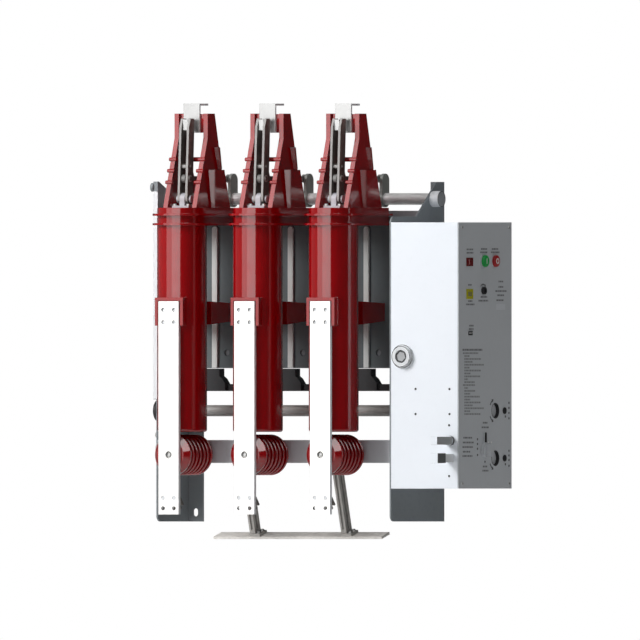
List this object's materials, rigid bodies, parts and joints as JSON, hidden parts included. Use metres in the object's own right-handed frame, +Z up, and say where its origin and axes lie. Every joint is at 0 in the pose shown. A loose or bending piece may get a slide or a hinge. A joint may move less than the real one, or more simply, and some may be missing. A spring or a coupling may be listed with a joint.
{
  "type": "vacuum circuit breaker",
  "caption": "Side-mounted indoor vacuum circuit breaker: a row of red epoxy poles with isolator blades on top, busbars in front, an earthing bar below and a mechanism box.",
  "frame": {"origin": "centre of the rear rail's back face, on the mounting plane behind the middle pole", "axes": "+X along the row towards the mechanism box, +Y back into the wall, +Z up"},
  "size_m": [0.944, 0.3509, 1.045],
  "materials": {
    "epoxy": "glossy moulded red epoxy",
    "tinned_copper": "tinned, fine brushed",
    "rail_strip": "pale moulded strip",
    "frame_steel": "grey coated sheet steel",
    "plated_steel": "zinc plated",
    "black_plastic": "black moulded",
    "box_paint": "white powder coat",
    "panel_paint": "grey satin coat",
    "green_button": "gloss",
    "red_button": "gloss",
    "window": "gloss"
  },
  "bodies": {
    "frame": {"pole_1": "epoxy", "pole_2": "epoxy", "pole_3": "epoxy", "isolator_guard_1": "epoxy", "isolator_guard_2": "epoxy", "isolator_guard_3": "epoxy", "post_insulator_1": "epoxy", "post_insulator_2": "epoxy", "post_insulator_3": "epoxy", "top_terminal_1": "tinned_copper", "top_terminal_2": "tinned_copper", "top_terminal_3": "tinned_copper", "busbar_1": "tinned_copper", "busbar_2": "tinned_copper", "busbar_3": "tinned_copper", "earth_contacts": "tinned_copper", "pole_rails": "rail_strip", "left_side_plate": "frame_steel", "right_side_plate": "frame_steel", "back_panel": "frame_steel", "lower_beam": "frame_steel", "rear_rail": "frame_steel", "pivot_brackets": "plated_steel", "shaft_bearings": "plated_steel", "drive_shaft": "plated_steel", "drive_socket": "plated_steel", "front_pins": "plated_steel", "drive_shaft_cap": "black_plastic", "lever_bar": "black_plastic", "charging_socket": "black_plastic", "operating_sockets": "black_plastic", "mechanism_box": "box_paint", "control_panel": "panel_paint", "indicator_windows": "window"},
    "isolator_shaft": {"isolator_shaft": "plated_steel"},
    "isolator_blades": {"blade_pair_1": "tinned_copper", "blade_pair_2": "tinned_copper", "blade_pair_3": "tinned_copper"},
    "pull_rods": {"pull_rods": "plated_steel"},
    "earth_switch": {"earth_shaft": "plated_steel", "earth_bar": "plated_steel"},
    "close_button": {"close_button": "green_button"},
    "open_button": {"open_button": "red_button"},
    "selector": {"selector_lever": "panel_paint"}
  },
  "joints": [
    {"name": "isolator_turn", "type": "hinge", "parent": "frame", "child": "isolator_shaft", "pos_m": [0, -0.054, 0.606], "axis": [1, 0, 0], "range_deg": [0, 60]},
    {"name": "blades_turn", "type": "hinge", "parent": "frame", "child": "isolator_blades", "pos_m": [0, -0.266, 0.606], "axis": [1, 0, 0], "range_deg": [0, 60]},
    {"name": "rods_turn", "type": "hinge", "parent": "isolator_blades", "child": "pull_rods", "pos_m": [0, -0.266, 0.655], "axis": [1, 0, 0], "range_deg": [-60, 0]},
    {"name": "earth_turn", "type": "hinge", "parent": "frame", "child": "earth_switch", "pos_m": [0, -0.13, 0.006], "axis": [-1, 0, 0], "range_deg": [0, 65]},
    {"name": "close_press", "type": "slide", "parent": "frame", "child": "close_button", "axis": [-1, 0, 0], "range_m": [0, 0.006], "stiffness_N_per_m": 400},
    {"name": "open_press", "type": "slide", "parent": "frame", "child": "open_button", "axis": [-1, 0, 0], "range_m": [0, 0.006], "stiffness_N_per_m": 400},
    {"name": "selector_turn", "type": "hinge", "parent": "frame", "child": "selector", "pos_m": [0.542, -0.134, 0.003], "axis": [-1, 0, 0], "range_deg": [0, 90]}
  ],
  "couplings": [
    {"joint": "blades_turn", "follows": "isolator_turn", "ratio": 1},
    {"joint": "rods_turn", "follows": "isolator_turn", "ratio": -1}
  ]
}
